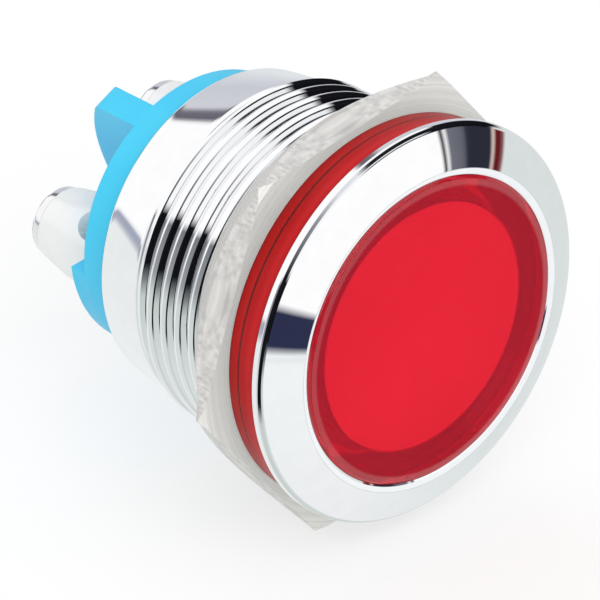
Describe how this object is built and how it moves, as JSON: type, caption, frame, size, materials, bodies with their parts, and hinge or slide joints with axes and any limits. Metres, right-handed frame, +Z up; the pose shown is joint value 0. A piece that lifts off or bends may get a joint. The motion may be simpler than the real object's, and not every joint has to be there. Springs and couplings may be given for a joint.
{
  "type": "panel pilot light",
  "caption": "Round metal indicator light for a panel: flat red lens in a polished bezel, threaded barrel with hex nut and gasket, and a blue base with screw terminals.",
  "frame": {"origin": "on the light's axis, in the plane of the bezel's rear face, which is the plane of the panel's front", "axes": "+Y along the axis from the bezel towards the terminals, so the lens looks along -Y; +Z up and +X to the right of the light seen from its terminals' far side"},
  "size_m": [0.0284, 0.0288, 0.0272],
  "materials": {
    "polished_plate": "mirror-bright nickel plate over turned brass",
    "red_lens": "glossy translucent red polycarbonate",
    "black_rubber": "matt black seal rubber",
    "milky_plastic": "milky translucent plastic",
    "white_plastic": "glossy white moulded plastic",
    "circuit_board": "satin green solder mask",
    "emitter": "white package with a pale yellow face",
    "component_black": "matt black moulded package",
    "can_aluminium": "satin drawn can",
    "lead_black": "matt black insulation",
    "lead_red": "matt red insulation",
    "blue_plastic": "semi-gloss blue moulded nylon",
    "red_rubber": "smooth red silicone rubber",
    "nickel_nut": "satin nickel plate with turning marks",
    "nickel_post": "bright nickel plate over turned brass",
    "polished_screw": "bright nickel-plated screw"
  },
  "bodies": {
    "root": {"housing": "polished_plate", "lens": "red_lens", "lens_seal": "black_rubber", "diffuser": "milky_plastic", "reflector": "white_plastic", "led_board": "circuit_board", "led_1": "emitter", "led_2": "emitter", "led_3": "emitter", "led_4": "emitter", "led_5": "emitter", "led_6": "emitter", "resistor_1": "component_black", "resistor_2": "component_black", "bridge_rectifier": "component_black", "capacitor": "can_aluminium", "lead_a": "lead_black", "lead_b": "lead_red", "base_seal": "black_rubber", "terminal_base": "blue_plastic", "panel_gasket": "red_rubber", "terminal_post_a": "nickel_post", "terminal_post_b": "nickel_post"},
    "nut": {"panel_nut": "nickel_nut"},
    "screw_a": {"terminal_screw_a": "polished_screw"},
    "screw_b": {"terminal_screw_b": "polished_screw"}
  },
  "joints": [
    {"name": "nut_travel", "type": "slide", "parent": "root", "child": "nut", "axis": [0, 1, 0], "range_m": [0, 0.0059]},
    {"name": "screw_a_travel", "type": "slide", "parent": "root", "child": "screw_a", "axis": [0, 1, 0], "range_m": [0, 0.0025]},
    {"name": "screw_b_travel", "type": "slide", "parent": "root", "child": "screw_b", "axis": [0, 1, 0], "range_m": [0, 0.0025]}
  ]
}
